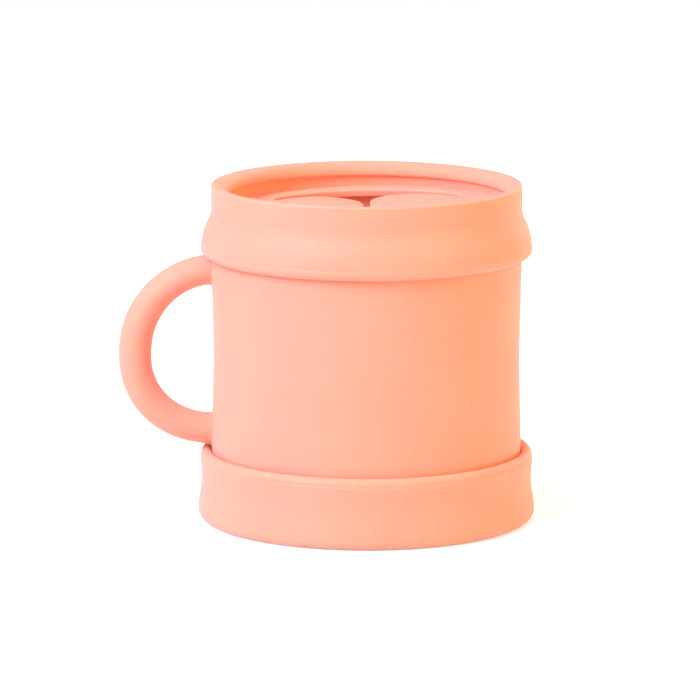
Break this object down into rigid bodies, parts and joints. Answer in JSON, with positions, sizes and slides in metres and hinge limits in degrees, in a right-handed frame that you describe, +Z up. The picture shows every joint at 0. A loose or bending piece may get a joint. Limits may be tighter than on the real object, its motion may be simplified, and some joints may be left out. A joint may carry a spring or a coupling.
{
  "type": "snack cup with flap lid",
  "caption": "Handled silicone cup for small children with a pull-off collar lid, two soft hand flaps that bend in or out, and a round cap stored under the base.",
  "frame": {"origin": "middle of the cap's flat underside, on the cup's axis", "axes": "+Z up along the cup's axis; the handle points along -X; the slot between the flaps runs along Y"},
  "size_m": [0.1135, 0.092, 0.092],
  "materials": {
    "silicone": "soft matte peach silicone"
  },
  "bodies": {
    "cap": {"storage_cap": "silicone"},
    "cup": {"cup_body": "silicone", "handle": "silicone"},
    "lid": {"lid_collar": "silicone", "lid_deck": "silicone", "left_hinge_root": "silicone", "right_hinge_root": "silicone"},
    "left_flap": {"left_flap": "silicone"},
    "right_flap": {"right_flap": "silicone"}
  },
  "joints": [
    {"name": "cup_lift", "type": "slide", "parent": "cap", "child": "cup", "axis": [0, 0, 1], "range_m": [0, 0.03]},
    {"name": "lid_lift", "type": "slide", "parent": "cup", "child": "lid", "axis": [0, 0, 1], "range_m": [0, 0.03]},
    {"name": "left_flap_bend", "type": "hinge", "parent": "lid", "child": "left_flap", "pos_m": [-0.0246, 0, 0.0838], "axis": [0, 1, 0], "range_deg": [-40, 70], "stiffness_Nm_per_rad": 0.0046, "springref_deg": -3.31},
    {"name": "right_flap_bend", "type": "hinge", "parent": "lid", "child": "right_flap", "pos_m": [0.0246, 0, 0.0838], "axis": [0, -1, 0], "range_deg": [-40, 70], "stiffness_Nm_per_rad": 0.0046, "springref_deg": -3.31}
  ]
}
